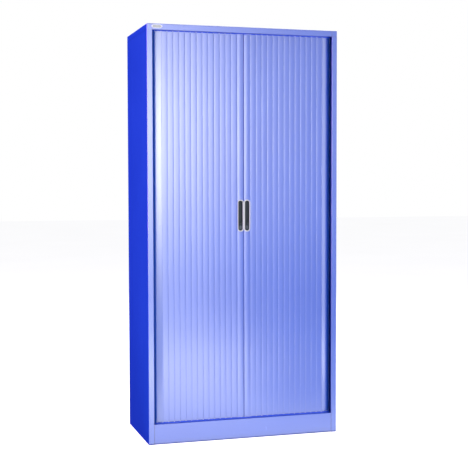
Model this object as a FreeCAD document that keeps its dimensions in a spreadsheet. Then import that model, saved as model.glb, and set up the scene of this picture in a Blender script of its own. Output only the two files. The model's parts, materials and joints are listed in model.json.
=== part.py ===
import FreeCAD, Part
import math
import os
import re

import Sketcher

Vector = FreeCAD.Vector
UPRIGHT = Vector(0, 0, 1)

# A steel cupboard with two tambour doors: X to the right, Y to the back, Z up.
# The origin is the middle of the footprint, on the floor.

# Driving sizes, in millimetres, degrees and counts
SIZES = [
    ("width", 914, "over the side panels"),
    ("depth", 457, "front of the stiles to the back"),
    ("height", 1905, "floor to the top of the cap"),
    ("gauge", 1.0, "thickness of the folded steel"),
    ("fold_radius", 1.0, "inside radius of a fold"),
    ("cap_height", 27, "skirt of the top cap"),
    ("cap_lip", 8, "flange turned in under the skirt"),
    ("cap_edge_radius", 2.5, "rounding of the cap's outer edges"),
    ("top_drop", 19, "top of the cap to the underside of the inner top"),
    ("stile_face", 25.5, "front face of each fixed stile"),
    ("stile_return", 15, "depth of the fold behind each fixed stile"),
    ("back_flange", 20, "flange of the side panels over the back"),
    ("plinth_height", 92, "floor to the top of the plinth"),
    ("plinth_setback", 1.5, "plinth behind the fixed stiles"),
    ("plinth_ledge", 8, "depth of the plinth's top flange"),
    ("plinth_foot", 18, "depth of the plinth's bottom flange"),
    ("base_drop", 6, "cupboard floor below the plinth's top"),
    ("base_flange", 34, "turned-down edges of the cupboard floor"),
    ("notch_play", 0.5, "notches to the folds that they pass"),
    ("door_recess", 14, "front of the slats behind the fixed stiles"),
    ("channel_inset", 16.1, "middle of the side channel inside the outer face"),
    ("flat_slats", 13, "slats across each door when it is closed"),
    ("corner_slats", 3, "slats that fill each corner"),
    ("lath_gauge", 1.0, "wall of a slat"),
    ("lath_crown", 0.8, "rise of a slat's curved face"),
    ("bead_radius", 2.0, "bead along a slat's leading edge"),
    ("bead_clearance", 0.4, "room between a bead and its socket"),
    ("socket_tip", 5, "angle at which a socket ends behind the bead"),
    ("socket_mouth", 115, "angle at which a socket ends in front"),
    ("socket_root", 150, "angle at which a socket leaves the slat's back"),
    ("slat_end_gap", 1.0, "slat ends to the tracks"),
    ("leading_width", 34, "middle of the cupboard to the first hinge line"),
    ("meeting_gap", 1.5, "leading stile to the middle of the cupboard"),
    ("leading_back", 10.6, "depth of a leading stile behind the hinge line"),
    ("leading_wall", 1.5, "wall of a leading stile"),
    ("leading_crown", 0.8, "rise of a leading stile's face"),
    ("leading_slope", 3.6, "bevel beside a leading stile's socket"),
    ("strip_play", 0.3, "meeting strip to the middle of the cupboard"),
    ("track_width", 12, "width of the tracks"),
    ("track_height", 12, "height of the tracks"),
    ("groove_width", 6, "groove that the glides run in"),
    ("groove_depth", 9, "depth of that groove"),
    ("track_end_gap", 12, "end of the tracks to the back panel"),
    ("track_joint", 0.5, "half the joint between a left and a right track"),
    ("glide_width", 5.2, "glides across the groove"),
    ("glide_play", 1.0, "glides to the bottom of the groove"),
    ("glide_long", 12, "glides of a leading stile along the groove"),
    ("stop_length", 8, "rubber stop at the end of each track"),
    ("stop_play", 0.4, "rubber stop across the groove, in all"),
    ("liner_inset", 10.4, "liner to the middle of the side channel"),
    ("liner_front", 56.5, "liner's front edge behind the front face"),
    ("liner_flange", 15, "flanges of the liners"),
    ("slot_wide", 12, "shelf slot, front to back"),
    ("slot_tall", 4, "shelf slot, height"),
    ("slot_pitch", 60, "one shelf slot to the next"),
    ("slot_rows", 25, "slots in each column"),
    ("slot_start", 118, "cupboard floor to the lowest slot"),
    ("slot_front", 86, "front column behind the front face"),
    ("slot_back", 40, "back column in front of the back face"),
    ("shelf_count", 4, "adjustable shelves"),
    ("shelf_front", 62, "shelf edge behind the front face"),
    ("shelf_back", 16, "shelf edge in front of the back face"),
    ("shelf_lip", 26, "height of a shelf's edges"),
    ("shelf_return", 12, "hem under a shelf's edges"),
    ("shelf_play", 2, "shelf ends to the liners"),
    ("clip_wide", 10, "shelf clip, front to back"),
    ("clip_gauge", 1.6, "thickness of a shelf clip"),
    ("clip_arm", 13, "arm of a clip under the shelf"),
    ("clip_leg", 16, "leg of a clip against the liner"),
    ("foot_inset_side", 60, "levelling feet inside the outer faces"),
    ("foot_inset_end", 62, "levelling feet inside the front and the back"),
    ("foot_radius", 18, "levelling foot"),
    ("foot_thickness", 6, "thickness of a levelling foot"),
    ("foot_lift", 2, "levelling foot above the floor, screwed in"),
    ("stem_radius", 5, "screw of a levelling foot"),
    ("stem_play", 0.08, "screw in its bush, on the radius"),
    ("stem_top", 6, "top of the screw under the cupboard floor"),
    ("bush_radius", 9, "threaded bush for a levelling foot"),
    ("bush_length", 42, "length of that bush"),
    ("bush_flange", 17, "radius of the flange that is welded to the floor"),
    ("access_radius", 7, "hole over each screw for a driver"),
    ("handle_height", 1040, "floor to the middle of the handles"),
    ("handle_centre", 16.1, "middle of a handle from the middle of the cupboard"),
    ("pull_width", 21.4, "opening of a recessed pull"),
    ("pull_height", 139, "height of that opening"),
    ("pull_corner", 10, "radius of that opening's round ends"),
    ("pull_depth", 9.6, "depth of the recess"),
    ("lock_zone", 32, "height of the shallow part that holds the lock"),
    ("lock_recess", 1.6, "depth of the shallow part"),
    ("cup_wall", 1.5, "wall of the pull's cup"),
    ("cup_play", 0.2, "cup and rim to the stile around them"),
    ("rim_border", 3.5, "rim of a pull outside its opening"),
    ("rim_height", 4.5, "rim of a pull above and below its opening"),
    ("rim_play", 0.3, "rim to the middle of the cupboard"),
    ("rim_thickness", 2.2, "thickness of the rim"),
    ("rim_bevel", 0.8, "bevel of the rim's front edges"),
    ("lock_rise", 15, "lower end of the opening to the middle of the lock"),
    ("barrel_radius", 8.0, "face of the lock barrel"),
    ("barrel_play", 0.06, "lock barrel in its hole, on the radius"),
    ("barrel_proud", 0.8, "lock barrel out of the shallow recess"),
    ("spindle_radius", 4.0, "spindle behind the barrel"),
    ("spindle_play", 0.3, "spindle in the stile's hole, on the radius"),
    ("keyway_wide", 1.6, "key slot"),
    ("keyway_tall", 8, "height of the key slot"),
    ("keyway_depth", 2.5, "depth of the key slot"),
    ("cam_gap", 1.2, "cam behind the leading stile"),
    ("cam_gauge", 2.0, "thickness of the cam"),
    ("cam_hub", 9, "radius of the cam's hub"),
    ("cam_arm", 7.5, "half the width of the cam's arm"),
    ("cam_tip", 7.5, "cam beyond the middle of its hook"),
    ("stud_radius", 2.6, "stud that the cam hooks over"),
    ("stud_head", 4.6, "head of that stud"),
    ("stud_play", 1.6, "cam hook around the stud"),
    ("head_play", 0.6, "cam to the head of that stud"),
    ("screw_head", 5, "head of the cam's screw"),
    ("screw_rise", 1.6, "height of that head's edge"),
    ("clip_tail", 2.5, "tail of a clip behind the liner"),
    ("rivet_radius", 4.0, "head of a back panel rivet"),
    ("rivet_rise", 1.0, "height of that head"),
    ("rivet_rows", 6, "rivets in each column"),
    ("rivet_end", 60, "end rivets inside the inner floor and top"),
]

# Sizes that follow from the driving ones
DERIVED = {
    "front": "-depth / 2",
    "back_inner": "depth / 2 - gauge * 2",
    "side_inner": "width / 2 - gauge",
    "bend": "fold_radius + gauge / 2",
    "skirt_foot": "height - cap_height",
    "top_under": "height - top_drop",
    "base_top": "plinth_height - base_drop",
    "plinth_face": "front + plinth_setback",
    "ledge_end": "plinth_face + plinth_ledge",
    "half_turn": "45 / corner_slats",
    "side_line": "width / 2 - channel_inset",
    "slat_pitch": "(side_line - leading_width) / (flat_slats + 0.5 / sin(half_turn))",
    "corner_radius": "slat_pitch * 0.5 / sin(half_turn)",
    "travel": "flat_slats * slat_pitch",
    "corner_line": "leading_width + travel",
    "socket_bore": "bead_radius + bead_clearance",
    "socket_outer": "socket_bore + lath_gauge",
    "shoulder": "socket_outer * sin(socket_mouth)",
    "shell_half": "(slat_pitch + socket_outer * cos(socket_mouth) + bead_radius / 4) / 2",
    "slat_rise": "shoulder + lath_crown",
    "hinge_line": "front + door_recess + slat_rise",
    "corner_start": "hinge_line + corner_radius",
    "track_top": "base_top + track_height",
    "slat_foot": "track_top + slat_end_gap",
    "slat_head": "top_under - track_height - slat_end_gap",
    "slat_length": "slat_head - slat_foot",
    "track_end": "back_inner - track_end_gap",
    "liner_line": "side_line - liner_inset",
    "liner_inner": "liner_line - gauge / 2",
    "shelf_step": "(top_under - base_top) / (shelf_count + 1)",
    "seat_rise": "slat_rise - leading_crown",
    "cup_depth": "pull_depth + cup_wall",
    "pull_left": "handle_centre - pull_width / 2",
    "pull_right": "handle_centre + pull_width / 2",
    "pull_low": "handle_height - pull_height / 2",
    "pull_high": "handle_height + pull_height / 2",
    "lock_height": "pull_low + lock_rise",
    "seat_line": "hinge_line - seat_rise",
    "barrel_face": "seat_line + lock_recess - barrel_proud",
    "leading_rear": "hinge_line + leading_back",
    "cam_face": "leading_rear + cam_gap",
    "stud_reach": "handle_centre * 2",
    "foot_x": "width / 2 - foot_inset_side",
    "foot_y": "depth / 2 - foot_inset_end",
}

ALIASES = {alias for alias, number, meaning in SIZES}

doc = FreeCAD.newDocument("TambourCupboard")
sheet = doc.addObject("Spreadsheet::Sheet", "Sizes")
for row, (alias, number, meaning) in enumerate(SIZES, start=1):
    sheet.set(f"A{row}", meaning)
    sheet.set(f"B{row}", str(number))
    sheet.setAlias(f"B{row}", alias)
doc.recompute()


def bound(text):
    """An expression with its words tied to the cells of the sheet."""
    def tie(match):
        word = match.group(0)
        if word in DERIVED:
            return "(" + bound(DERIVED[word]) + ")"
        if word in ALIASES:
            return "Sizes." + word
        return word
    return re.sub(r"[a-z_]+", tie, text)


def measure(text):
    """The number that an expression gives now."""
    result = sheet.evalExpression(bound(text))
    return float(getattr(result, "Value", result))


def count(text):
    return int(round(measure(text)))


# Sketches

def new_body(label):
    body = doc.addObject("PartDesign::Body", label)
    body.Label = label
    return body


def sketch_on(body, role, level="0"):
    """A sketch on one of the body's own planes, moved along its normal to a level."""
    plane = next(item for item in body.Origin.OriginFeatures if item.Role == role)
    sketch = body.newObject("Sketcher::SketchObject", "Sketch")
    sketch.AttachmentSupport = [(plane, "")]
    sketch.MapMode = "FlatFace"
    sketch.setExpression("AttachmentOffset.Base.z", bound(level))
    return sketch


def arc_from(start, finish, radius, turn, long_way):
    """The arc between two points; turn is 1 to the left and -1 to the right."""
    chord = finish - start
    half = chord.Length / 2
    rise = math.sqrt(max(radius * radius - half * half, 0.0))
    side = -turn if long_way else turn
    left = Vector(-chord.y, chord.x, 0).normalize()
    centre = (start + finish) / 2 + left * (side * rise)
    begin = math.atan2(start.y - centre.y, start.x - centre.x)
    end = math.atan2(finish.y - centre.y, finish.x - centre.x)
    if turn < 0:
        begin, end = end, begin
    if end < begin:
        end += 2 * math.pi
    return Part.ArcOfCircle(Part.Circle(centre, UPRIGHT, radius), begin, end)


def tie(sketch, kind, *places):
    """A dimension whose last place is the expression that drives it."""
    text = places[-1]
    index = sketch.addConstraint(Sketcher.Constraint(kind, *places[:-1], measure(text)))
    sketch.setExpression(f"Constraints[{index}]", bound(text))


def draw(sketch, corners, arcs=None):
    """A closed outline. Side i runs from corner i to the next, straight or as arcs says."""
    arcs = arcs or {}
    points = [Vector(measure(u), measure(v), 0) for u, v in corners]
    sides = []
    for i, start in enumerate(points):
        finish = points[(i + 1) % len(points)]
        if i in arcs:
            radius, turn, long_way = arcs[i]
            curve = arc_from(start, finish, measure(radius), turn, long_way)
            number = sketch.addGeometry(curve)
            sides.append((number, 1, 2) if turn > 0 else (number, 2, 1))
        else:
            number = sketch.addGeometry(Part.LineSegment(start, finish))
            sides.append((number, 1, 2))
    for i, (number, begin, end) in enumerate(sides):
        following, next_begin, _ = sides[(i + 1) % len(sides)]
        sketch.addConstraint(Sketcher.Constraint("Coincident", number, end, following, next_begin))
    for (number, begin, end), (u, v) in zip(sides, corners):
        tie(sketch, "DistanceX", -1, 1, number, begin, u)
        tie(sketch, "DistanceY", -1, 1, number, begin, v)
    for i, (radius, turn, long_way) in arcs.items():
        tie(sketch, "Radius", sides[i][0], radius)


def ring(sketch, u, v, radius):
    """A circle about a place."""
    number = sketch.addGeometry(Part.Circle(Vector(measure(u), measure(v), 0), UPRIGHT, measure(radius)))
    tie(sketch, "DistanceX", -1, 1, number, 3, u)
    tie(sketch, "DistanceY", -1, 1, number, 3, v)
    tie(sketch, "Radius", number, radius)


def box_corners(low_u, low_v, high_u, high_v):
    return [(low_u, low_v), (high_u, low_v), (high_u, high_v), (low_u, high_v)]


def rounded_box(low_u, low_v, high_u, high_v, radius):
    """Corners and arcs of a rectangle with round corners."""
    radius = f"({radius})"
    corners = [
        (f"{low_u} + {radius}", low_v), (f"{high_u} - {radius}", low_v),
        (high_u, f"{low_v} + {radius}"), (high_u, f"{high_v} - {radius}"),
        (f"{high_u} - {radius}", high_v), (f"{low_u} + {radius}", high_v),
        (low_u, f"{high_v} - {radius}"), (low_u, f"{low_v} + {radius}"),
    ]
    return corners, {i: (radius, 1, False) for i in (1, 3, 5, 7)}


def moved(text, *steps):
    """A coordinate with whole multiples of named lengths added."""
    for factor, length in steps:
        if factor:
            text += f" + {factor} * ({length})"
    return text


def folded(path):
    """The outline of sheet steel folded along a middle line whose runs follow the axes."""
    points = [(measure(u), measure(v)) for u, v in path]
    ways = []
    for (u0, v0), (u1, v1) in zip(points, points[1:]):
        across, along = u1 - u0, v1 - v0
        if abs(across) > abs(along):
            ways.append((1 if across > 0 else -1, 0))
        else:
            ways.append((0, 1 if along > 0 else -1))
    faces = {}
    for side in (1, -1):
        run = []
        for i, (u, v) in enumerate(path):
            before = ways[max(i - 1, 0)]
            after = ways[min(i, len(ways) - 1)]
            turn = before[0] * after[1] - before[1] * after[0]
            trim = "bend" if turn else "0"
            arc = ("fold_radius" if side == turn else "fold_radius + gauge", turn)
            come = (moved(u, (-before[0], trim), (-side * before[1], "gauge / 2")),
                    moved(v, (-before[1], trim), (side * before[0], "gauge / 2")))
            leave = (moved(u, (after[0], trim), (-side * after[1], "gauge / 2")),
                     moved(v, (after[1], trim), (side * after[0], "gauge / 2")))
            run.append((come, leave, arc) if turn else (come, None, None))
        faces[side] = run
    corners, arcs = [], {}
    for come, leave, arc in faces[1]:
        corners.append(come)
        if leave:
            arcs[len(corners) - 1] = (arc[0], arc[1], False)
            corners.append(leave)
    for come, leave, arc in reversed(faces[-1]):
        if leave:
            corners.append(leave)
            arcs[len(corners) - 1] = (arc[0], -arc[1], False)
        corners.append(come)
    return corners, arcs


# Features

def feature(body, kind, sketch, length, reverse=False):
    item = body.newObject(f"PartDesign::{kind}", kind)
    item.Profile = sketch
    item.Reversed = reverse
    item.setExpression("Length", bound(length))
    return item


def prism(body, role, level, length, corners, arcs=None, reverse=False):
    """A pad of one outline."""
    sketch = sketch_on(body, role, level)
    draw(sketch, corners, arcs)
    return feature(body, "Pad", sketch, length, reverse)


def cut(body, role, level, length, outlines=(), circles=(), reverse=False):
    """A pocket that has to take some material away."""
    doc.recompute()
    before = body.Shape.Volume
    sketch = sketch_on(body, role, level)
    for corners, arcs in outlines:
        draw(sketch, corners, arcs)
    for u, v, radius in circles:
        ring(sketch, u, v, radius)
    item = feature(body, "Pocket", sketch, length, reverse)
    doc.recompute()
    if body.Shape.Volume > before - 1e-6:
        raise RuntimeError(f"nothing was cut from {body.Label}")
    return item


def soften(body, kind, size, wanted):
    """A fillet or a chamfer along the edges of the body that the test picks."""
    doc.recompute()
    base = body.Tip
    names = [f"Edge{i}" for i, edge in enumerate(base.Shape.Edges, start=1) if wanted(edge)]
    item = body.newObject(f"PartDesign::{kind}", kind)
    item.Base = (base, names)
    item.setExpression({"Fillet": "Radius", "Chamfer": "Size"}[kind], bound(size))
    doc.recompute()
    return item


def turned(body, corners, arcs=None):
    """A solid of revolution about the upright axis, from a half section in X and Z."""
    sketch = sketch_on(body, "XZ_Plane")
    draw(sketch, corners, arcs)
    item = body.newObject("PartDesign::Revolution", "Revolution")
    item.Profile = sketch
    item.ReferenceAxis = (sketch, ["V_Axis"])
    item.Angle = 360
    return item


def place(body, x="0", y="0", z="0"):
    for axis, text in zip("xyz", (x, y, z)):
        body.setExpression(f"Placement.Base.{axis}", bound(text))


def mirrored(label, source, across="X", level="0"):
    """The same piece on the other side of a plane."""
    item = doc.addObject("Part::Mirroring", label)
    item.Label = label
    item.Source = source
    item.Normal = {"X": Vector(1, 0, 0), "Z": UPRIGHT}[across]
    item.setExpression(f"Base.{across.lower()}", bound(level))
    return item


def copies(label, source, places, planes=()):
    """One node of separate solids, copied to each place and then over each mirror plane."""
    doc.recompute()
    solids = []
    for position in places:
        solid = source.Shape.copy()
        solid.Placement = position.multiply(solid.Placement)
        solids.append(solid)
    for point, normal in planes:
        solids += [solid.mirror(point, normal) for solid in solids]
    item = doc.addObject("Part::Feature", label)
    item.Label = label
    item.Shape = Part.makeCompound(solids)
    item.Placement = FreeCAD.Placement()
    return item


def at(x=0.0, y=0.0, z=0.0, turn=0.0):
    return FreeCAD.Placement(Vector(x, y, z), FreeCAD.Rotation(UPRIGHT, turn))


# Carcass

def side_panel():
    """Side, fixed front stile and back flange, folded from one sheet."""
    body = new_body("left_side_panel")
    inner = "-width / 2 + stile_face - gauge / 2"
    outer = "-width / 2 + gauge / 2"
    path = [
        (inner, "front + stile_return"),
        (inner, "front + gauge / 2"),
        (outer, "front + gauge / 2"),
        (outer, "depth / 2 - gauge / 2"),
        ("-width / 2 + back_flange", "depth / 2 - gauge / 2"),
    ]
    corners, arcs = folded(path)
    prism(body, "XY_Plane", "0", "skirt_foot", corners, arcs)
    return body


def back_panel():
    body = new_body("back_panel")
    corners = box_corners("-side_inner + fold_radius", "0", "side_inner - fold_radius", "skirt_foot")
    prism(body, "XZ_Plane", "-(back_inner + gauge)", "gauge", corners)
    return body


def top_cap():
    """A shallow tray with round edges, open below, with a lip turned in all round."""
    body = new_body("top_cap")
    corners, arcs = rounded_box("-width / 2", "front", "width / 2", "depth / 2", "cap_edge_radius")
    prism(body, "XY_Plane", "skirt_foot", "cap_height", corners, arcs)
    top = measure("height")
    soften(body, "Fillet", "cap_edge_radius",
           lambda edge: min(vertex.Z for vertex in edge.Vertexes) > top - 1e-3)
    inner, inner_arcs = rounded_box("-width / 2 + gauge", "front + gauge", "width / 2 - gauge",
                                    "depth / 2 - gauge", "cap_edge_radius - gauge / 2")
    cut(body, "XY_Plane", "skirt_foot", "cap_height - gauge", [(inner, inner_arcs)], reverse=True)
    lip = sketch_on(body, "XY_Plane", "skirt_foot")
    outer, outer_arcs = rounded_box("-width / 2 + gauge / 2", "front + gauge / 2", "width / 2 - gauge / 2",
                                    "depth / 2 - gauge / 2", "cap_edge_radius")
    draw(lip, outer, outer_arcs)
    edge = "gauge + cap_lip"
    draw(lip, box_corners(f"-width / 2 + {edge}", f"front + {edge}",
                          f"width / 2 - ({edge})", f"depth / 2 - ({edge})"))
    feature(body, "Pad", lip, "gauge")
    return body


def across_panel(label, path, half_width):
    """Folded steel that runs from side to side."""
    body = new_body(label)
    corners, arcs = folded(path)
    prism(body, "YZ_Plane", f"-({half_width})", f"({half_width}) * 2", corners, arcs)
    return body


def top_panel():
    """The inner top that carries the upper tracks, standing on the lip of the cap."""
    level = "top_under + gauge / 2"
    near = "front + gauge * 2 + fold_radius"
    far = "depth / 2 - gauge * 2 - fold_radius"
    foot = "skirt_foot + gauge"
    path = [(near, foot), (near, level), (far, level), (far, foot)]
    return across_panel("top_panel", path, "side_inner - cap_edge_radius")


def base_panel():
    """The cupboard floor, notched around the fixed stiles, with a hole over each levelling screw."""
    level = "base_top - gauge / 2"
    near = "ledge_end + gauge / 2"
    far = "back_inner - gauge / 2"
    foot = "base_top - base_flange"
    path = [(near, foot), (near, level), (far, level), (far, foot)]
    body = across_panel("base_panel", path, "side_inner")
    holes = [(f"{side} * foot_x", f"{end} * foot_y", "access_radius") for side in (-1, 1) for end in (-1, 1)]
    cut(body, "XY_Plane", "base_top + gauge", "gauge * 3", circles=holes)
    inner = "width / 2 - stile_face - notch_play"
    rear = "front + stile_return + notch_play"
    notches = [(box_corners("-side_inner - gauge", "front", f"-({inner})", rear), None),
               (box_corners(inner, "front", "side_inner + gauge", rear), None)]
    cut(body, "XY_Plane", "base_top + gauge", "base_flange + gauge * 2", notches)
    return body


def plinth():
    face = "plinth_face + gauge / 2"
    path = [
        ("plinth_face + plinth_foot", "gauge / 2"),
        (face, "gauge / 2"),
        (face, "plinth_height - gauge / 2"),
        ("ledge_end", "plinth_height - gauge / 2"),
    ]
    return across_panel("plinth", path, "width / 2 - stile_face")


def liner():
    """The slotted inner wall between the shelves and the side channel."""
    body = new_body("right_liner")
    near = "front + liner_front + gauge / 2"
    far = "back_inner - gauge / 2"
    end = "liner_line - liner_flange"
    path = [(end, near), ("liner_line", near), ("liner_line", far), (end, far)]
    corners, arcs = folded(path)
    prism(body, "XY_Plane", "base_top", "top_under - base_top", corners, arcs)
    slots = []
    for column in ("front + slot_front", "depth / 2 - slot_back"):
        level = "base_top + slot_start"
        slots.append((box_corners(f"{column} - slot_wide / 2", f"{level} - slot_tall / 2",
                                  f"{column} + slot_wide / 2", f"{level} + slot_tall / 2"), None))
    first = cut(body, "YZ_Plane", "liner_line + gauge", "gauge * 2", slots)
    rows = body.newObject("PartDesign::LinearPattern", "SlotRows")
    rows.Originals = [first]
    upward = next(item for item in body.Origin.OriginFeatures if item.Role == "Z_Axis")
    rows.Direction = (upward, [""])
    rows.setExpression("Length", bound("slot_pitch * (slot_rows - 1)"))
    rows.setExpression("Occurrences", bound("slot_rows"))
    body.Tip = rows
    notch = box_corners("depth / 2 - gauge - cap_lip - notch_play", "skirt_foot - notch_play",
                        "depth / 2", "top_under + gauge")
    cut(body, "YZ_Plane", "liner_line + gauge", "liner_flange + gauge * 3", [(notch, None)])
    return body


# Tracks

def band(half, start, end):
    """A strip of a given half width along the path of the right-hand door."""
    corners = [
        (start, f"hinge_line - {half}"),
        ("corner_line", f"hinge_line - {half}"),
        (f"side_line + {half}", "corner_start"),
        (f"side_line + {half}", end),
        (f"side_line - {half}", end),
        (f"side_line - {half}", "corner_start"),
        ("corner_line", f"hinge_line + {half}"),
        (start, f"hinge_line + {half}"),
    ]
    arcs = {1: (f"corner_radius + {half}", 1, False), 5: (f"corner_radius - {half}", -1, False)}
    return corners, arcs


def lower_track():
    """Front run, corner and side run of the groove that guides a door's glides."""
    body = new_body("bottom_right_track")
    corners, arcs = band("track_width / 2", "track_joint", "track_end")
    prism(body, "XY_Plane", "base_top", "track_height", corners, arcs)
    wall = "(track_width - groove_width) / 2"
    corners, arcs = band("groove_width / 2", "track_joint", f"track_end - {wall}")
    cut(body, "XY_Plane", "track_top", "groove_depth", [(corners, arcs)])
    return body


def track_stop():
    body = new_body("track_stop")
    end = "track_end - (track_width - groove_width) / 2"
    half = "(groove_width - stop_play) / 2"
    corners = box_corners(f"side_line - {half}", f"{end} - stop_length", f"side_line + {half}", end)
    prism(body, "XY_Plane", "track_top - groove_depth", "groove_depth", corners)
    return body


# Slats

def slat():
    """One roll-formed slat of the right-hand door, its bead at the origin.

    Its outer face looks to -Y and its socket lies one pitch along X.
    """
    body = new_body("slat")

    def around(middle, radius, angle):
        return (f"{middle} + ({radius}) * cos({angle})", f"-({radius}) * sin({angle})")

    neck = ("bead_radius * 1.1", "-(bead_radius * 1.2)")
    corners = [
        around("slat_pitch", "socket_bore", "socket_tip"),
        around("slat_pitch", "socket_outer", "socket_tip"),
        around("slat_pitch", "socket_outer", "socket_root"),
        neck,
        around("0", "bead_radius", "45"),
        around("0", "bead_radius", "95"),
        ("-bead_radius / 4", "-shoulder"),
        around("slat_pitch", "socket_outer", "socket_mouth"),
        around("slat_pitch", "socket_bore", "socket_mouth"),
    ]
    face_radius = "(pow(shell_half; 2) + pow(lath_crown; 2)) / (2 * lath_crown)"
    arcs = {
        1: ("socket_outer", 1, True),
        2: (face_radius, -1, False),
        4: ("bead_radius", 1, True),
        6: (face_radius, 1, False),
        8: ("socket_bore", -1, True),
    }
    prism(body, "XY_Plane", "slat_foot", "slat_length", corners, arcs)
    return body


def slat_glide():
    """The nylon glide that is pressed on the lower end of a bead."""
    body = new_body("slat_glide")
    half = "glide_width / 2"
    nib = "glide_width / 4"
    corners = [
        (f"-{half}", f"-{nib}"), (f"-{nib}", f"-{half}"), (nib, f"-{half}"), (half, f"-{nib}"),
        (half, nib), (nib, half), (f"-{nib}", half), (f"-{half}", nib),
    ]
    foot = "track_top - groove_depth + glide_play"
    prism(body, "XY_Plane", foot, f"slat_foot - ({foot})", corners)
    return body


def flat_places():
    pitch = measure("slat_pitch")
    return [at(measure("leading_width") + i * pitch, measure("hinge_line")) for i in range(count("flat_slats"))]


def corner_places():
    """Each corner slat spans its share of a quarter turn; its bead lies on the path."""
    share = 90.0 / count("corner_slats")
    radius = measure("corner_radius")
    places = []
    for i in range(count("corner_slats")):
        angle = math.radians(share * i)
        places.append(at(measure("corner_line") + radius * math.sin(angle),
                         measure("corner_start") - radius * math.cos(angle),
                         turn=share * (i + 0.5)))
    return places


def middle_plane():
    """The level plane half-way between the lower and the upper tracks."""
    return (Vector(0, 0, measure("(base_top + top_under) / 2")), UPRIGHT)


def centre_plane():
    """The upright plane between the two doors."""
    return (Vector(0, 0, 0), Vector(1, 0, 0))


# Leading stiles

def leading_stile():
    """The hollow stile at a door's free edge, with a socket for the first slat's bead."""
    body = new_body("right_stile")

    def around(radius, angle):
        return (f"leading_width + ({radius}) * cos({angle})", f"hinge_line - ({radius}) * sin({angle})")

    wall = "leading_width - socket_outer"
    corners = [
        around("socket_bore", "socket_tip"),
        around("socket_outer", "socket_tip"),
        around("socket_outer", "250"),
        (wall, "hinge_line + socket_outer + lath_gauge"),
        (wall, "leading_rear"),
        ("meeting_gap", "leading_rear"),
        ("meeting_gap", "hinge_line - seat_rise"),
        ("leading_width - leading_slope", "hinge_line - seat_rise"),
        around("socket_outer", "socket_mouth"),
        around("socket_bore", "socket_mouth"),
    ]
    span = "(leading_width - leading_slope - meeting_gap) / 2"
    arcs = {
        1: ("socket_outer", 1, False),
        6: (f"(pow({span}; 2) + pow(leading_crown; 2)) / (2 * leading_crown)", 1, False),
        9: ("socket_bore", -1, True),
    }
    sketch = sketch_on(body, "XY_Plane", "slat_foot")
    draw(sketch, corners, arcs)
    draw(sketch, box_corners("meeting_gap + leading_wall", "hinge_line - seat_rise + leading_wall",
                             f"{wall} - leading_wall", "leading_rear - leading_wall"))
    feature(body, "Pad", sketch, "slat_length")
    seat = rim_outline("cup_play")
    cut(body, "XZ_Plane", "-seat_line + leading_crown * 2", "leading_crown * 2", [seat])
    hole = pull_outline("cup_wall + cup_play")
    cut(body, "XZ_Plane", "-seat_line", "leading_wall * 2", [hole])
    bore = ("handle_centre", "lock_height", "spindle_radius + spindle_play")
    cut(body, "XZ_Plane", "-leading_rear + leading_wall * 1.5", "leading_wall * 2", circles=[bore])
    return body


def meeting_strip():
    """Rubber strip between the two leading stiles."""
    body = new_body("right_meeting_strip")
    near = "hinge_line - seat_rise + leading_wall"
    far = "leading_rear - leading_wall"
    nose = "meeting_gap - strip_play"
    corners = [("meeting_gap", near), ("meeting_gap", far),
               ("strip_play", f"{far} - ({nose})"), ("strip_play", f"{near} + ({nose})")]
    prism(body, "XY_Plane", "slat_foot", "slat_length", corners)
    return body


def stile_glide():
    body = new_body("stile_glide")
    foot = "track_top - groove_depth + glide_play"
    corners, arcs = rounded_box("-glide_long / 2", "-glide_width / 2", "glide_long / 2", "glide_width / 2",
                                "glide_width / 4")
    prism(body, "XY_Plane", foot, f"slat_foot - ({foot})", corners, arcs)
    return body


# Recessed pulls and the lock

def pull_outline(border):
    """A round-ended outline at an even distance from the opening of the right-hand pull."""
    return rounded_box(f"pull_left - ({border})", f"pull_low - ({border})",
                       f"pull_right + ({border})", f"pull_high + ({border})", f"pull_corner + {border}")


def rim_outline(play):
    """The outside of the right-hand rim, which meets its twin in the middle of the cupboard."""
    return rounded_box(f"rim_play - ({play})", f"pull_low - rim_height - ({play})",
                       f"pull_right + rim_border + {play}", f"pull_high + rim_height + {play}",
                       f"pull_corner + rim_border + {play}")


def handle_rim():
    """The flat rim that frames a pull, seated in the stile's face."""
    body = new_body("right_handle_rim")
    sketch = sketch_on(body, "XZ_Plane", "-seat_line")
    draw(sketch, *rim_outline("0"))
    draw(sketch, *pull_outline("0"))
    feature(body, "Pad", sketch, "rim_thickness")
    face = measure("seat_line - rim_thickness")
    soften(body, "Chamfer", "rim_bevel",
           lambda edge: max(abs(vertex.Y - face) for vertex in edge.Vertexes) < 1e-3)
    return body


def handle_cup():
    """A deep recess for the fingers over a shallow one with the lock's hole."""
    body = new_body("right_handle_cup")
    corners, arcs = pull_outline("cup_wall")
    prism(body, "XZ_Plane", "-seat_line - cup_depth", "cup_depth", corners, arcs)
    cut(body, "XZ_Plane", "-seat_line", "lock_recess", [pull_outline("0")])
    fingers = rounded_box("pull_left", "pull_low + lock_zone", "pull_right", "pull_high", "pull_corner")
    cut(body, "XZ_Plane", "-seat_line", "pull_depth", [fingers])
    cut(body, "XZ_Plane", "-seat_line", "cup_depth",
        circles=[("handle_centre", "lock_height", "barrel_radius + barrel_play")])
    return body


def facing_back(body, x, y, z):
    """Turns a piece made along Z so that it runs to the back, and sets its place."""
    body.Placement = FreeCAD.Placement(Vector(0, 0, 0), FreeCAD.Rotation(Vector(1, 0, 0), -90))
    place(body, x, y, z)
    return body


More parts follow.
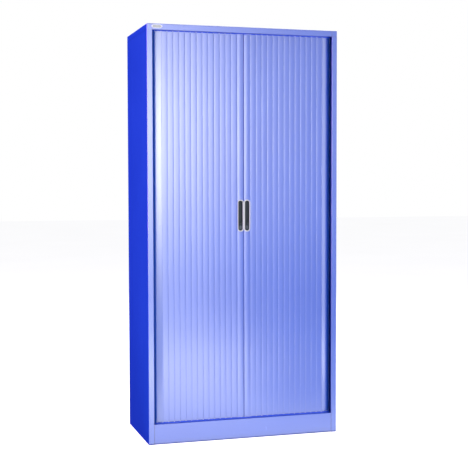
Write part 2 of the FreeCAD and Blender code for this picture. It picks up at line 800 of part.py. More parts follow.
def lock_barrel():
    """Barrel with a key slot, and the spindle behind it that turns the cam."""
    body = new_body("lock_barrel")
    step = "seat_line + cup_depth - (barrel_face)"
    end = "cam_face + cam_gauge - (barrel_face)"
    nose = "cup_wall / 2"
    corners = [
        ("0", "0"), (f"barrel_radius - {nose}", "0"), ("barrel_radius", nose), ("barrel_radius", step),
        ("spindle_radius", step), ("spindle_radius", end), ("0", end),
    ]
    turned(body, corners)
    slot = box_corners("-keyway_wide / 2", "-keyway_tall / 2", "keyway_wide / 2", "keyway_tall / 2")
    cut(body, "XY_Plane", "0", "keyway_depth", [(slot, None)], reverse=True)
    return facing_back(body, "handle_centre", "barrel_face", "lock_height")


def lock_blank():
    """The plain plug that fills the same hole on the door without a lock."""
    body = new_body("left_lock_blank")
    end = "seat_line + cup_depth - (barrel_face)"
    nose = "cup_wall / 2"
    turned(body, [("0", "0"), (f"barrel_radius - {nose}", "0"), ("barrel_radius", nose),
                  ("barrel_radius", end), ("0", end)])
    return facing_back(body, "-handle_centre", "barrel_face", "lock_height")


def lock_cam():
    """The cam, upright while unlocked; its hook turns down over the stud of the other door."""
    body = new_body("lock_cam")
    left, right = "handle_centre - cam_arm", "handle_centre + cam_arm"
    root = "lock_height + pow(pow(cam_hub; 2) - pow(cam_arm; 2); 0.5)"
    hook = "lock_height + stud_reach"
    tip = f"{hook} + cam_tip"
    bevel = "cam_gauge"
    mouth = "stud_radius + stud_play"
    corners = [
        (right, root), (right, f"{tip} - {bevel}"), (f"{right} - {bevel}", tip), (f"{left} + {bevel}", tip),
        (left, f"{tip} - {bevel}"), (left, f"{hook} + {mouth}"), ("handle_centre", f"{hook} + {mouth}"),
        (f"handle_centre + {mouth}", hook), ("handle_centre", f"{hook} - ({mouth})"),
        (left, f"{hook} - ({mouth})"), (left, root),
    ]
    arcs = {6: (mouth, -1, False), 7: (mouth, -1, False), 10: ("cam_hub", 1, True)}
    prism(body, "XZ_Plane", "-cam_face - cam_gauge", "cam_gauge", corners, arcs)
    hole = ("handle_centre", "lock_height", "spindle_radius + barrel_play")
    cut(body, "XZ_Plane", "-cam_face", "cam_gauge", circles=[hole])
    return body


def cam_screw():
    body = new_body("cam_screw")
    turned(body, [("0", "0"), ("screw_head", "0"), ("screw_head", "screw_rise"),
                  ("screw_head - screw_rise / 2", "screw_rise * 1.5"), ("0", "screw_rise * 1.5")])
    return facing_back(body, "handle_centre", "cam_face + cam_gauge", "lock_height")


def strike_stud():
    """The headed stud behind the left leading stile, in the same hole as the lock's spindle."""
    body = new_body("strike_stud")
    neck = "cam_gap + cam_gauge + head_play"
    shank = "spindle_radius + spindle_play - barrel_play"
    corners = [
        ("0", "-leading_wall"), (shank, "-leading_wall"), (shank, "0"), ("stud_radius", "0"),
        ("stud_radius", neck), ("stud_head", neck), ("stud_head", f"{neck} + head_play * 2"),
        ("0", f"{neck} + head_play * 2"),
    ]
    turned(body, corners)
    return facing_back(body, "-handle_centre", "leading_rear", "lock_height")


# Inside fittings

def shelf(number):
    """An adjustable shelf with hemmed front and back edges, at the slots nearest its even spacing."""
    level = f"{shelf_level(number)} - gauge / 2"
    foot = f"{shelf_level(number)} - shelf_lip + gauge / 2"
    near = "front + shelf_front + gauge / 2"
    far = "depth / 2 - shelf_back - gauge / 2"
    path = [(f"{near} + shelf_return", foot), (near, foot), (near, level), (far, level), (far, foot),
            (f"{far} - shelf_return", foot)]
    return across_panel(f"shelf_{number}", path, "liner_inner - shelf_play")


def shelf_level(number):
    row = f"round((shelf_step * {number} - slot_start) / slot_pitch)"
    return f"base_top + slot_start + slot_pitch * {row} + slot_tall / 2"


def shelf_clip():
    """A folded clip for the right-hand liner, its arm's top at the origin's height."""
    body = new_body("shelf_clip")
    leg = "liner_inner - clip_gauge"
    tail = "liner_inner + gauge + clip_tail"
    corners = [
        ("liner_inner - clip_arm", "-clip_gauge"), (leg, "-clip_gauge"), (leg, "-clip_gauge - clip_leg"),
        ("liner_inner", "-clip_gauge - clip_leg"), ("liner_inner", "-clip_gauge"), (tail, "-clip_gauge"),
        (tail, "0"), ("liner_inner - clip_arm", "0"),
    ]
    prism(body, "XZ_Plane", "-clip_wide / 2", "clip_wide", corners)
    return body


def clip_places():
    """A clip at each column of slots under each shelf, on both sides."""
    over = FreeCAD.Rotation(UPRIGHT, 180)
    places = []
    for number in range(1, count("shelf_count") + 1):
        z = measure(f"{shelf_level(number)} - gauge")
        for y in (measure("front + slot_front"), measure("depth / 2 - slot_back")):
            places.append(at(0, y, z))
            places.append(FreeCAD.Placement(Vector(0, y, z), over))
    return places


def levelling_foot(label, side, end):
    body = new_body(label)
    rim = "foot_lift + foot_thickness / 2"
    shoulder = "foot_lift + foot_thickness"
    head = "base_top - stem_top"
    corners = [
        ("0", "foot_lift"), ("foot_radius - foot_lift", "foot_lift"), ("foot_radius", "foot_lift * 2"),
        ("foot_radius", rim), ("stem_radius * 1.5", shoulder), ("stem_radius", shoulder),
        ("stem_radius", head), ("0", head),
    ]
    turned(body, corners)
    place(body, f"{side} * foot_x", f"{end} * foot_y")
    return body


def foot_bush():
    """A threaded bush whose flange is welded under the cupboard floor."""
    body = new_body("foot_bush")
    top = "base_top - gauge"
    low = f"{top} - bush_length"
    bore = "stem_radius + stem_play"
    turned(body, [(bore, low), ("bush_radius", low), ("bush_radius", f"{top} - gauge * 2"),
                  ("bush_flange", f"{top} - gauge * 2"), ("bush_flange", top), (bore, top)])
    return body


def back_rivet():
    """The low head of a rivet that holds the back panel to a liner."""
    body = new_body("back_rivet")
    turned(body, [("0", "0"), ("rivet_radius", "0"), ("rivet_radius / 2", "rivet_rise"), ("0", "rivet_rise")])
    return facing_back(body, "0", "back_inner + gauge", "0")


def rivet_places():
    rows = count("rivet_rows")
    low, high = measure("base_top + rivet_end"), measure("top_under - rivet_end")
    reach = measure("liner_line - liner_flange / 2")
    step = (high - low) / (rows - 1)
    return [at(side * reach, 0, low + step * i) for side in (-1, 1) for i in range(rows)]


# Assembly

def build():
    """Makes every sub-part and returns those that are kept as nodes."""
    left_side = side_panel()
    right_liner = liner()
    lower_right = lower_track()
    lower_left = mirrored("bottom_left_track", lower_right)
    middle = "(base_top + top_under) / 2"
    doc.recompute()
    nodes = [
        left_side, mirrored("right_side_panel", left_side), back_panel(), top_cap(), top_panel(),
        base_panel(), plinth(), right_liner, mirrored("left_liner", right_liner),
        lower_right, lower_left,
        mirrored("top_right_track", lower_right, "Z", middle),
        mirrored("top_left_track", lower_left, "Z", middle),
    ]
    nodes += [shelf(number) for number in range(1, count("shelf_count") + 1)]

    stop = track_stop()
    clip = shelf_clip()
    bush = foot_bush()
    rivet = back_rivet()
    feet = [(side, end) for side in (-1, 1) for end in (-1, 1)]
    nodes += [
        copies("track_end_stops", stop, [at()], [middle_plane(), centre_plane()]),
        copies("shelf_clips", clip, clip_places()),
        copies("foot_bushes", bush, [at(side * measure("foot_x"), end * measure("foot_y"))
                                     for side, end in feet]),
        copies("back_rivets", rivet, rivet_places()),
    ]
    for side, side_name in ((-1, "left"), (1, "right")):
        for end, end_name in ((-1, "front"), (1, "back")):
            nodes.append(levelling_foot(f"{end_name}_{side_name}_foot", side, end))

    one_slat = slat()
    one_glide = slat_glide()
    right_slats = copies("right_slats", one_slat, flat_places())
    right_corner = copies("right_corner_slats", one_slat, corner_places())
    right_glides = copies("right_slat_glides", one_glide, flat_places(), [middle_plane()])
    right_corner_glides = copies("right_corner_glides", one_glide, corner_places(), [middle_plane()])
    stile = leading_stile()
    long_glide = stile_glide()
    spots = [at(measure(text), measure("hinge_line"))
             for text in ("glide_long * 0.75", "leading_width - glide_long")]
    stile_glides = copies("right_stile_glides", long_glide, spots, [middle_plane()])
    strip, rim, cup = meeting_strip(), handle_rim(), handle_cup()
    for piece in (right_slats, right_corner, right_glides, right_corner_glides, stile, stile_glides,
                  strip, rim, cup):
        nodes.append(piece)
        nodes.append(mirrored(piece.Label.replace("right", "left"), piece))
    nodes += [lock_barrel(), lock_cam(), cam_screw(), lock_blank(), strike_stud()]
    return nodes


def check(nodes):
    """Stops when an object failed or a node has no sound shape."""
    for item in doc.Objects:
        if "Invalid" in item.State or "Error" in item.State:
            raise RuntimeError(f"{item.Label} failed: {item.State}")
    for node in nodes:
        if node.Shape.isNull() or not node.Shape.isValid() or not node.Shape.Solids:
            raise RuntimeError(f"{node.Label} has no sound shape")


nodes = build()
doc.recompute()
check(nodes)
os.makedirs("parts", exist_ok=True)
for node in nodes:
    node.Shape.exportStep(f"parts/{node.Label}.step")
    box = node.Shape.BoundBox
    print(f"{node.Label}: {len(node.Shape.Solids)} solids, {box.XLength:.1f} x {box.YLength:.1f} x {box.ZLength:.1f} mm")
print(f"{len(nodes)} nodes, door travel {measure('travel'):.2f} mm, slat pitch {measure('slat_pitch'):.3f} mm")
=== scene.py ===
import json
import math
import random

import bpy
from mathutils import Matrix, Vector


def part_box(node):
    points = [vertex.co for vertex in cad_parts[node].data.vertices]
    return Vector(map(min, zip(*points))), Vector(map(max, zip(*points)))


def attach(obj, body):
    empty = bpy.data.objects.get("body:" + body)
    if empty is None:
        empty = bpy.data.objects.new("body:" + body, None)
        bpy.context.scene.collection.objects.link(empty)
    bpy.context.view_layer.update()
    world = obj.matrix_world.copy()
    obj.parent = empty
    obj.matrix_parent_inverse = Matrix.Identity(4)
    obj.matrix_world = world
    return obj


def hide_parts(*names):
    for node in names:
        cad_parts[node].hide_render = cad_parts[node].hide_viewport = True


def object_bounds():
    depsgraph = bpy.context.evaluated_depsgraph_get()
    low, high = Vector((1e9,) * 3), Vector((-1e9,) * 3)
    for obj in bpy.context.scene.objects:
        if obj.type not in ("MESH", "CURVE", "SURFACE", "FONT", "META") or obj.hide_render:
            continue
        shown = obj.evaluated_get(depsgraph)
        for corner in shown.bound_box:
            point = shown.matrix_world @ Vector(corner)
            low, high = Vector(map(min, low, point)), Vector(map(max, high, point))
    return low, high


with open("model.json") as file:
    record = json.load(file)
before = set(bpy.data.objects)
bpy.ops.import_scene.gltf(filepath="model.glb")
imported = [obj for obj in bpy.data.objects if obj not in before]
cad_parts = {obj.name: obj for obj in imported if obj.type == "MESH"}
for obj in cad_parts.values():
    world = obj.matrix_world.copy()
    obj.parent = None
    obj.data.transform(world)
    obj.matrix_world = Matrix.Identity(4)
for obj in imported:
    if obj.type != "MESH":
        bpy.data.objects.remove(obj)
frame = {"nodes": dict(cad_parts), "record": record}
cad_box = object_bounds()

NODES = frame["nodes"]

# Sizes that the slats share with the tracks, in metres
SIDE_CHANNEL = 0.4409
FIRST_HINGE = 0.034
FLAT_SLATS = 13
CORNER_SLATS = 3
GAUGE = 0.001
CROWN = 0.0008
FACE_CROWN = 0.00024
EDGE_ROLL = 0.00014
LEAN = 0.6
BEAD = 0.002
BEAD_ROOM = 0.0004
SOCKET_TIP = 5
SOCKET_MOUTH = 115
SOCKET_ROOT = 150
DOOR_RECESS = 0.014

HALF_TURN = math.radians(45 / CORNER_SLATS)
PITCH = (SIDE_CHANNEL - FIRST_HINGE) / (FLAT_SLATS + 0.5 / math.sin(HALF_TURN))
CORNER_RADIUS = PITCH * 0.5 / math.sin(HALF_TURN)
CORNER_START = FIRST_HINGE + FLAT_SLATS * PITCH
SOCKET_BORE = BEAD + BEAD_ROOM
SOCKET_SKIN = SOCKET_BORE + GAUGE
SHOULDER = SOCKET_SKIN * math.sin(math.radians(SOCKET_MOUTH))
FRONT = cad_box[0].y
HINGE_LINE = FRONT + DOOR_RECESS + SHOULDER + CROWN


# Shader maths

class Value:
    """A number on its way through a material, so that shader maths reads as plain sums."""

    def __init__(self, finish, socket):
        self.finish = finish
        self.socket = socket

    def math(self, operation, *operands, clamp=False):
        settings = {"operation": operation, "use_clamp": clamp}
        node = self.finish.node("ShaderNodeMath", settings, dict(enumerate(operands)))
        return Value(self.finish, node.outputs[0])

    def __add__(self, other):
        return self.math("ADD", self, other)

    def __radd__(self, other):
        return self.math("ADD", other, self)

    def __sub__(self, other):
        return self.math("SUBTRACT", self, other)

    def __mul__(self, other):
        return self.math("MULTIPLY", self, other)

    def __truediv__(self, other):
        return self.math("DIVIDE", self, other)

    def __pow__(self, other):
        return self.math("POWER", self, other)

    def clamped(self):
        return self.math("ADD", self, 0.0, clamp=True)

    def absolute(self):
        return self.math("ABSOLUTE", self)

    def sine(self):
        return self.math("SINE", self)

    def ramp(self, low, high):
        """0 below low and 1 above high, with a soft step between; low may be the larger."""
        settings = {"interpolation_type": "SMOOTHSTEP"}
        places = {"Value": self, "From Min": low, "From Max": high}
        node = self.finish.node("ShaderNodeMapRange", settings, places)
        return Value(self.finish, node.outputs[0])


class Finish:
    """A procedural material on one Principled shader."""

    def __init__(self, name):
        self.material = bpy.data.materials.new(name)
        self.material.use_nodes = True
        self.tree = self.material.node_tree
        self.tree.nodes.clear()
        self.shader = self.node("ShaderNodeBsdfPrincipled")
        self.node("ShaderNodeOutputMaterial", inputs={"Surface": self.shader.outputs[0]})
        self.place = self.node("ShaderNodeTexCoord").outputs["Object"]

    def node(self, kind, settings=None, inputs=None):
        """A node whose settings are made first and whose sockets then get values or links."""
        node = self.tree.nodes.new(kind)
        for name, setting in (settings or {}).items():
            setattr(node, name, setting)
        self.feed(node, inputs or {})
        return node

    def feed(self, node, inputs):
        for name, given in inputs.items():
            given = given.socket if isinstance(given, Value) else given
            if isinstance(given, bpy.types.NodeSocket):
                self.tree.links.new(given, node.inputs[name])
            else:
                node.inputs[name].default_value = given

    def set(self, **inputs):
        """Values or links of the shader's own sockets; an underscore stands for a space."""
        self.feed(self.shader, {name.replace("_", " "): given for name, given in inputs.items()})

    def stretched(self, x=1.0, y=1.0, z=1.0, turn=(0.0, 0.0, 0.0)):
        """Object coordinates, scaled on each axis and turned."""
        inputs = {"Vector": self.place, "Scale": (x, y, z), "Rotation": turn}
        return self.node("ShaderNodeMapping", inputs=inputs).outputs[0]

    def noise(self, scale, detail=2.0, roughness=0.5, along=None):
        inputs = {"Vector": along or self.place, "Scale": scale, "Detail": detail, "Roughness": roughness}
        return Value(self, self.node("ShaderNodeTexNoise", inputs=inputs).outputs[0])

    def cells(self, scale):
        inputs = {"Vector": self.place, "Scale": scale}
        return Value(self, self.node("ShaderNodeTexVoronoi", inputs=inputs).outputs["Distance"])

    def axis(self, letter):
        """One of the object's own coordinates, in metres."""
        node = self.node("ShaderNodeSeparateXYZ", inputs={0: self.place})
        return Value(self, node.outputs[letter])

    def blend(self, share, first, second):
        """A colour between two others."""
        settings = {"data_type": "RGBA"}
        node = self.node("ShaderNodeMix", settings)
        self.feed(node, {0: share, 6: first, 7: second})
        return node.outputs[2]

    def rounded(self, radius):
        """Normals that run softly round an edge, as paint does over a fold."""
        return self.node("ShaderNodeBevel", {"samples": 4}, {"Radius": radius}).outputs[0]

    def relief(self, height, depth, strength=1.0, over=None):
        """A bump of a given depth in metres, on top of another if one is given."""
        inputs = {"Height": height, "Distance": depth, "Strength": strength}
        if over is not None:
            inputs["Normal"] = over
        return self.node("ShaderNodeBump", inputs=inputs).outputs[0]


def rgb(red, green, blue):
    return (red, green, blue, 1.0)


# Finishes

DEEP_BLUE = rgb(0.002, 0.055, 0.42)
WORN_BLUE = rgb(0.005, 0.065, 0.455)
SCUFFED = rgb(0.10, 0.17, 0.68)
# painted shade: the dark blue of the shadow in the gap where two sheets meet
PAINTED_SEAM_SHADE = rgb(0.001, 0.012, 0.16)
PAINT_GLOSS = 2.4
PEEL_DEPTH = 0.00002
LATHE_RINGS = 9000.0


def powder_coat(name, waves=0.0, grime=0.0, edge=0.0, shaded_seams=()):
    """Blue powder coat: orange peel, slow waves in the sheet, faint clouds, a few scuffs low down and
    painted shade: dark lines where two sheets meet, in place of the shadow in the gap between them. A seam
    is an axis, its place and a width; on X it is on both sides."""
    coat = Finish(name)
    clouds = coat.noise(2.2, 3.0, 0.55)
    fine = coat.noise(38.0, 2.0, 0.6)
    tone = (clouds.ramp(0.32, 0.70) * 0.7 + fine * 0.3).clamped()
    colour = coat.blend(tone, DEEP_BLUE, WORN_BLUE)
    low = coat.axis("Z").ramp(0.16, 0.0)
    streaks = coat.noise(60.0, 4.0, 0.7, coat.stretched(1.0, 1.0, 0.22, (0.0, 0.35, 0.2)))
    scuffs = streaks.ramp(0.66, 0.74) * low
    colour = coat.blend(scuffs * 0.55, colour, SCUFFED)
    if grime:
        dust = coat.noise(9.0, 4.0, 0.6).ramp(0.45, 0.75) * grime
        colour = coat.blend(dust, colour, rgb(0.16, 0.19, 0.50))
    # painted shade: a dark line along each seam where two sheets meet, standing in for the shadow in the
    # gap
    for letter, place, width in shaded_seams:
        where = coat.axis(letter)
        if letter == "X":
            where = where.absolute()
        off = (where - place).absolute()
        colour = coat.blend(off.ramp(width, width * 0.4) * 0.85, colour, PAINTED_SEAM_SHADE)
    peel = coat.noise(620.0, 2.0, 0.55)
    normal = coat.relief(peel, PEEL_DEPTH, 0.6, over=coat.rounded(edge) if edge else None)
    if waves:
        drift = coat.noise(4.0, 1.0, 0.4, coat.stretched(2.0, 2.0, 0.8))
        normal = coat.relief(drift, waves, 1.0, normal)
    coat.set(Base_Color=colour, Roughness=0.27 + fine * 0.04 + scuffs * 0.2, Normal=normal,
             IOR=PAINT_GLOSS)
    return coat.material


def moulded(name, colour, shine, grain_scale, grain_depth, pale=0.25, gloss=1.5):
    """Moulded plastic with an eroded grain and slight handling marks; gloss is its index of refraction."""
    plastic = Finish(name)
    grain = plastic.cells(grain_scale)
    wear = plastic.noise(35.0, 3.0, 0.6)
    lighter = tuple(channel + (1.0 - channel) * 0.12 for channel in colour[:3]) + (1.0,)
    shade = plastic.blend(wear.ramp(0.40, 0.75) * pale, colour, lighter)
    plastic.set(Base_Color=shade, Roughness=shine + wear * 0.12, IOR=gloss,
                Normal=plastic.relief(grain, grain_depth, 0.6))
    return plastic.material


def soft_rubber(name, dark, dusty):
    """Rubber with a dry bloom."""
    rubber = Finish(name)
    bloom = rubber.noise(90.0, 4.0, 0.7)
    shade = rubber.blend(bloom.ramp(0.35, 0.8) * 0.5, dark, dusty)
    rubber.set(Base_Color=shade, Roughness=0.72 + bloom * 0.15,
               Normal=rubber.relief(rubber.noise(1200.0, 2.0), 0.00005, 0.5))
    return rubber.material


def plated_steel(name):
    """Zinc plate: a grey with a faint spangle and rolling marks."""
    plate = Finish(name)
    spangle = plate.cells(90.0)
    drawn = plate.noise(300.0, 3.0, 0.6, plate.stretched(1.0, 1.0, 0.04))
    shade = plate.blend(spangle.ramp(0.1, 0.6), rgb(0.50, 0.51, 0.52), rgb(0.66, 0.66, 0.65))
    plate.set(Base_Color=shade, Metallic=1.0, Roughness=0.28 + drawn * 0.22,
              Normal=plate.relief(drawn, 0.00003, 0.5))
    return plate.material


def turned_nickel(name, centre):
    """Plated metal with the fine rings that a lathe leaves around the lock's middle."""
    metal = Finish(name)
    across = metal.axis("X") - centre[0]
    up = metal.axis("Z") - centre[2]
    radius = (across * across + up * up) ** 0.5
    rings = (radius * LATHE_RINGS).sine()
    smudge = metal.noise(160.0, 3.0, 0.6)
    shade = metal.blend(smudge, rgb(0.045, 0.055, 0.07), rgb(0.08, 0.09, 0.11))
    metal.set(Base_Color=shade, Metallic=1.0, Roughness=0.24 + smudge * 0.16,
              Normal=metal.relief(rings, 0.00001, 0.4))
    return metal.material


def badge_enamel(name, middle, half_wide, half_tall):
    """Grey enamel in a shallow dish, with a painted highlight on its raised edge: a paler grey there."""
    enamel = Finish(name)
    across = (enamel.axis("X") - middle.x) / half_wide
    up = (enamel.axis("Z") - middle.z) / half_tall
    # painted highlight: the raised edge gets a paler grey, as if it caught the light
    edge = (across * across * across * across + up * up).ramp(0.50, 0.66)
    wear = enamel.noise(220.0, 3.0, 0.6)
    dish = enamel.blend(wear, rgb(0.30, 0.33, 0.33), rgb(0.38, 0.41, 0.41))
    enamel.set(Base_Color=enamel.blend(edge, dish, rgb(0.66, 0.69, 0.69)), Roughness=0.32 + wear * 0.12,
               Normal=enamel.relief(enamel.cells(1800.0), 0.00002, 0.6))
    return enamel.material


def pale_floor(name):
    floor = Finish(name)
    clouds = floor.noise(0.7, 3.0, 0.5)
    speckle = floor.noise(140.0, 2.0, 0.6)
    shade = floor.blend(clouds * 0.6 + speckle * 0.4, rgb(0.80, 0.80, 0.81), rgb(0.86, 0.86, 0.87))
    floor.set(Base_Color=shade, Roughness=0.75, Normal=floor.relief(speckle, 0.0004, 0.2),
              Emission_Color=shade, Emission_Strength=1.15)
    return floor.material


# Meshes

def rolled_arc(middle, radius, start, finish, steps):
    """Points on an arc; angles run from +X towards the front."""
    points = []
    for step in range(steps + 1):
        angle = math.radians(start + (finish - start) * step / steps)
        points.append((middle + radius * math.cos(angle), -radius * math.sin(angle)))
    return points


def bowed(start, finish, radius, steps):
    """Points on a shallow arc between two places, bowed to the left of the way it runs."""
    (x0, y0), (x1, y1) = start, finish
    half = math.hypot(x1 - x0, y1 - y0) / 2
    rise = math.sqrt(radius * radius - half * half)
    left = (-(y1 - y0) / (2 * half), (x1 - x0) / (2 * half))
    cx, cy = (x0 + x1) / 2 - left[0] * rise, (y0 + y1) / 2 - left[1] * rise
    begin = math.atan2(y0 - cy, x0 - cx)
    end = math.atan2(y1 - cy, x1 - cx)
    angles = [begin + (end - begin) * i / steps for i in range(steps + 1)]
    return [(cx + radius * math.cos(angle), cy + radius * math.sin(angle)) for angle in angles]


def pressed_face(start, finish, steps):
    """Points across a slat's face: a faint crown, rolled over in its last few millimetres."""
    points = []
    for step in range(steps + 1):
        share = 0.5 - 0.5 * math.cos(math.pi * step / steps)
        off = abs(2 * share - 1)
        rise = FACE_CROWN * (1 - off ** 2) + EDGE_ROLL * (1 - off ** 9)
        points.append((start[0] + (finish[0] - start[0]) * share,
                       start[1] + (finish[1] - start[1]) * share - rise))
    return points


def slat_profile():
    """The rolled section of one slat: socket, back, bead and crowned face, in that order."""
    half_face = (PITCH + SOCKET_SKIN * math.cos(math.radians(SOCKET_MOUTH)) + BEAD / 4) / 2
    back_radius = (half_face ** 2 + CROWN ** 2) / (2 * CROWN)
    socket_back = rolled_arc(PITCH, SOCKET_SKIN, SOCKET_TIP, SOCKET_ROOT - 360, 18)
    neck = (BEAD * 1.1, -BEAD * 1.2)
    bead = rolled_arc(0.0, BEAD, 45, 95 - 360, 20)
    shoulder = (-BEAD / 4, -SHOULDER)
    mouth = rolled_arc(PITCH, SOCKET_SKIN, SOCKET_MOUTH, SOCKET_MOUTH, 1)[0]
    inner = rolled_arc(PITCH, SOCKET_BORE, SOCKET_MOUTH, SOCKET_TIP + 360, 18)
    back = bowed(socket_back[-1], neck, back_radius, 12)
    face = pressed_face(shoulder, mouth, 24)
    return socket_back + back[1:] + bead + face + inner


def extruded(name, outlines, low, high, crease=35):
    """One mesh of upright prisms, smooth along their curves."""
    points, faces = [], []
    for outline in outlines:
        first, count = len(points), len(outline)
        points += [(x, y, low) for x, y in outline] + [(x, y, high) for x, y in outline]
        for i in range(count):
            after = (i + 1) % count
            faces.append((first + i, first + after, first + count + after, first + count + i))
        faces.append(tuple(range(first + count - 1, first - 1, -1)))
        faces.append(tuple(range(first + count, first + 2 * count)))
    mesh = bpy.data.meshes.new(name)
    mesh.from_pydata(points, [], faces)
    mesh.validate()
    mesh.shade_smooth()
    mesh.set_sharp_from_angle(angle=math.radians(crease))
    piece = bpy.data.objects.new(name, mesh)
    bpy.context.collection.objects.link(piece)
    return piece


def turned_by(outline, angle):
    c, s = math.cos(angle), math.sin(angle)
    return [(x * c - y * s, x * s + y * c) for x, y in outline]


def slat_places(corner):
    """Place and turn of each slat's bead for the right-hand door."""
    if not corner:
        return [(FIRST_HINGE + i * PITCH, HINGE_LINE, 0.0) for i in range(FLAT_SLATS)]
    places = []
    for i in range(CORNER_SLATS):
        angle = 2 * HALF_TURN * i
        places.append((CORNER_START + CORNER_RADIUS * math.sin(angle),
                       HINGE_LINE + CORNER_RADIUS - CORNER_RADIUS * math.cos(angle),
                       angle + HALF_TURN))
    return places


def slat_sheet(side, corner, paint):
    """The slats of one door's front or of one corner; the flat ones lean like tiles, each a hair more or
    less than the next."""
    label = "corner_slats" if corner else "slats"
    node = f"{side}_{label}"
    sign = 1 if side == "right" else -1
    chance = random.Random(f"{side} {label}")
    profile = slat_profile()
    outlines = []
    for x, y, turn in slat_places(corner):
        play = 0.0 if corner else math.radians(LEAN + chance.uniform(-0.3, 0.3))
        outline = [(sign * (x + u), y + v) for u, v in turned_by(profile, turn + play)]
        outlines.append(outline if sign > 0 else outline[::-1])
    low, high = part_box(node)
    piece = extruded(f"{side}_rolled_{label}", outlines, low.z, high.z)
    piece.data.materials.append(paint)
    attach(piece, "carcass" if corner else f"{side}_curtain")
    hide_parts(node)


# Camera, floor and light

PHOTO = 468
FOCAL_PIXELS = 1050.97
STANDPOINT = Vector((-1.4453, -4.8685, 1.1842))
YAW = 0.2917
PITCH_DOWN = 0.0471
ROLL = -0.002

WINDOW_WALL = -6.5
BOUNCE_HEIGHT = 0.002


def photo_camera():
    data = bpy.data.cameras.new("photo_camera")
    data.sensor_width = 36.0
    data.lens = data.sensor_width * FOCAL_PIXELS / PHOTO
    camera = bpy.data.objects.new("photo_camera", data)
    bpy.context.collection.objects.link(camera)
    ahead = Vector((math.sin(YAW) * math.cos(PITCH_DOWN), math.cos(YAW) * math.cos(PITCH_DOWN),
                    -math.sin(PITCH_DOWN)))
    turn = ahead.to_track_quat("-Z", "Y").to_matrix() @ Matrix.Rotation(ROLL, 3, "Z")
    camera.matrix_world = Matrix.Translation(STANDPOINT) @ turn.to_4x4()
    bpy.context.scene.camera = camera


def softbox(name, place, aim, wide, tall, radiance, tint=(1.0, 1.0, 1.0)):
    data = bpy.data.lights.new(name, "AREA")
    data.shape = "RECTANGLE"
    data.size, data.size_y = wide, tall
    data.energy = radiance * math.pi * wide * tall
    data.color = tint
    light = bpy.data.objects.new(name, data)
    bpy.context.collection.objects.link(light)
    way = Vector(aim) - Vector(place)
    light.location = place
    light.rotation_euler = way.to_track_quat("-Z", "Y").to_euler()
    light.visible_camera = False
    return light


def window(name, left, right, sill, head, radiance):
    """An upright panel of the window wall in front of the cupboard."""
    across, up = (left + right) / 2, (sill + head) / 2
    wide, tall = right - left, head - sill
    return softbox(name, (across, WINDOW_WALL, up), (across, 0.0, up), wide, tall, radiance)


def bounce(name, left, right, near, far, radiance):
    """A panel lying on the floor, out in front of the cupboard or behind it where near and far are
    negative; the lower half of the sheet steel mirrors it."""
    across, out = (left + right) / 2, -(near + far) / 2
    wide, deep = right - left, far - near
    return softbox(name, (across, out, BOUNCE_HEIGHT), (across, out, 1.0), wide, deep, radiance)


def floor_sheet(reach):
    """The pale floor. It bounces no light of its own; the panels that lie on it do."""
    mesh = bpy.data.meshes.new("floor")
    mesh.from_pydata([(-reach, -reach, 0), (reach, -reach, 0), (reach, reach, 0), (-reach, reach, 0)],
                     [], [(0, 1, 2, 3)])
    mesh.materials.append(pale_floor("pale_floor"))
    sheet = bpy.data.objects.new("floor", mesh)
    bpy.context.collection.objects.link(sheet)
    sheet.visible_diffuse = False
    sheet.visible_glossy = False


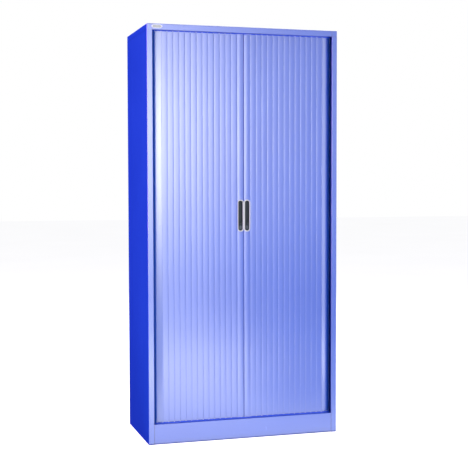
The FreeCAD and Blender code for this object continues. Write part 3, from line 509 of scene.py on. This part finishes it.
def studio():
    """A pale floor, a wall of windows in front, strongest on the left, and weak fills all round.

    The panels were laid out one by one. Most of their strengths began as a least-squares fit to the
    photograph's colours, and some of those were changed.
    """
    floor_sheet(30.0)

    world = bpy.data.worlds.new("studio")
    world.use_nodes = True
    tree = world.node_tree
    tree.nodes.clear()
    seen = tree.nodes.new("ShaderNodeBackground")
    seen.inputs["Color"].default_value = rgb(1.0, 1.0, 1.0)
    around = tree.nodes.new("ShaderNodeBackground")
    around.inputs["Color"].default_value = rgb(0.80, 0.88, 1.0)
    around.inputs["Strength"].default_value = 0.01
    path = tree.nodes.new("ShaderNodeLightPath")
    pick = tree.nodes.new("ShaderNodeMixShader")
    out = tree.nodes.new("ShaderNodeOutputWorld")
    tree.links.new(path.outputs["Is Camera Ray"], pick.inputs[0])
    tree.links.new(around.outputs[0], pick.inputs[1])
    tree.links.new(seen.outputs[0], pick.inputs[2])
    tree.links.new(pick.outputs[0], out.inputs[0])
    bpy.context.scene.world = world

    window("side_window", -3.4, -1.2, 0.7, 2.6, 10.0)
    window("window_sill", -1.2, 1.3, 0.2, 1.3, 4.2)
    window("window_middle", -1.2, 1.3, 1.3, 2.5, 7.3)
    window("window_head", -1.2, 1.3, 2.5, 4.0, 2.2)
    window("right_window", 1.3, 2.3, 0.2, 4.0, 1.4)
    window("far_window", 2.3, 3.8, 0.2, 4.0, 1.1)
    bounce("near_bounce", -1.0, 1.2, 0.235, 0.75, 1.75)
    bounce("left_bounce", -0.8, 0.35, 0.75, 1.7, 2.6)
    bounce("right_bounce", 0.35, 1.5, 0.75, 1.7, 0.9)
    bounce("far_bounce", -0.6, 0.7, 1.7, 3.0, 5.2)
    bounce("far_right_bounce", 0.7, 1.7, 1.7, 3.2, 0.9)
    bounce("left_floor_bounce", -3.2, -1.0, 0.5, 3.2, 2.0)
    bounce("side_bounce", 1.5, 2.7, 0.4, 2.0, 6.0)
    bounce("right_floor_bounce", 0.6, 4.6, -0.8, 0.35, 0.9)
    bounce("back_bounce", 0.2, 6.0, -8.0, -0.8, 0.7)
    softbox("left_fill", (-4.3, -0.4, 1.9), (-0.45, 0.0, 1.2), 3.0, 3.0, 12.9, (0.67, 0.36, 1.0))
    softbox("right_front", (3.9, -3.2, 1.5), (0.4, -0.2, 1.0), 2.0, 3.0, 2.5)
    softbox("right_fill", (4.6, 0.1, 1.7), (0.45, 0.0, 1.0), 4.0, 3.2, 1.3)
    softbox("back_fill", (1.2, 4.2, 3.6), (0.2, 0.2, 0.8), 3.6, 2.4, 6.0, (0.75, 0.85, 1.0))
    softbox("overhead", (0.0, -0.4, 4.6), (0.0, 0.0, 0.0), 3.0, 3.0, 3.0)


# The cupboard's finishes, piece by piece

def dress():
    cap_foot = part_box("top_cap")[0].z
    stile_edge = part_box("plinth")[1].x
    seam = 0.0011
    # painted shade: dark lines along the cap's foot and along both stile edges, where the sheets meet
    shell = powder_coat("blue_powder_coat", waves=0.0006, edge=0.0012,
                        shaded_seams=[("Z", cap_foot, seam), ("X", stile_edge, seam * 1.5)])
    slat_coat = powder_coat("blue_slat_coat", waves=0.0003)
    inside = powder_coat("blue_inside_coat", grime=0.25)
    track = moulded("track_plastic", rgb(0.010, 0.060, 0.60), 0.45, 900.0, 0.00003)
    strip = soft_rubber("meeting_rubber", rgb(0.006, 0.030, 0.30), rgb(0.03, 0.07, 0.40))
    nylon = moulded("glide_nylon_white", rgb(0.74, 0.73, 0.68), 0.42, 700.0, 0.00002)
    rubber = soft_rubber("stop_rubber_black", rgb(0.012, 0.012, 0.014), rgb(0.05, 0.05, 0.055))
    pull = moulded("pull_plastic", rgb(0.006, 0.012, 0.022), 0.26, 1400.0, 0.00003, pale=0.06, gloss=1.34)
    blank = moulded("blank_plastic", rgb(0.030, 0.045, 0.060), 0.45, 1400.0, 0.00004)
    rim = moulded("rim_plastic", rgb(0.42, 0.43, 0.45), 0.40, 1600.0, 0.00002)
    zinc = plated_steel("zinc_plate")
    lock_low, lock_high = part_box("lock_barrel")
    nickel = turned_nickel("lock_black_nickel", (lock_low + lock_high) / 2)
    foot = moulded("foot_nylon_black", rgb(0.018, 0.018, 0.02), 0.55, 600.0, 0.00005)
    inner = ("top_panel", "base_panel", "left_liner", "right_liner",
             "shelf_1", "shelf_2", "shelf_3", "shelf_4")
    finishes = {
        "track_blue": track, "strip_blue": strip, "glide_nylon": nylon, "stop_rubber": rubber,
        "pull_black": pull, "rim_grey": rim, "zinc_steel": zinc, "lock_metal": nickel,
        "foot_plastic": foot, "blue_paint": shell,
    }
    special = {"left_lock_blank": blank}
    slots = {entry["node"]: entry["material_slot"] for entry in frame["record"]["subparts"]}
    for name, piece in NODES.items():
        paint = inside if name in inner else special.get(name, finishes[slots[name]])
        for place in piece.material_slots:
            place.material = paint
    for side in ("left", "right"):
        slat_sheet(side, False, slat_coat)
        slat_sheet(side, True, slat_coat)


def name_plate():
    """The bare oval plate in the cap's front corner: a shallow dish with a raised edge."""
    left, right = -0.435, -0.386
    low, high = 1.8846, 1.9004
    middle = Vector(((left + right) / 2, FRONT, (low + high) / 2))
    half_wide, half_tall = (right - left) / 2, (high - low) / 2
    dish, rim = 0.0009, 0.0014
    rings = ((1.00, 0.0), (1.00, dish), (0.95, rim), (0.86, rim), (0.80, dish), (0.40, dish))
    around = 64
    points, faces = [], []
    for share, rise in rings:
        inset = (1.0 - share) * half_tall
        for step in range(around):
            angle = 2 * math.pi * step / around
            c, s = math.cos(angle), math.sin(angle)
            x = (half_wide - inset) * math.copysign(abs(c) ** 0.62, c)
            z = (half_tall - inset) * math.copysign(abs(s) ** 0.9, s)
            points.append((middle.x + x, middle.y - rise, middle.z + z))
    for ring in range(len(rings) - 1):
        for step in range(around):
            after = (step + 1) % around
            faces.append((ring * around + step, ring * around + after,
                          (ring + 1) * around + after, (ring + 1) * around + step))
    faces.append(tuple(range((len(rings) - 1) * around, len(rings) * around)))
    mesh = bpy.data.meshes.new("bare_plate")
    mesh.from_pydata(points, [], faces)
    mesh.validate()
    mesh.shade_smooth()
    mesh.set_sharp_from_angle(angle=math.radians(50))
    mesh.materials.append(badge_enamel("plate_enamel", middle, half_wide, half_tall))
    plate = bpy.data.objects.new("bare_plate", mesh)
    bpy.context.collection.objects.link(plate)
    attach(plate, "carcass")


dress()
name_plate()
photo_camera()
studio()
bpy.context.scene.view_settings.view_transform = "Standard"
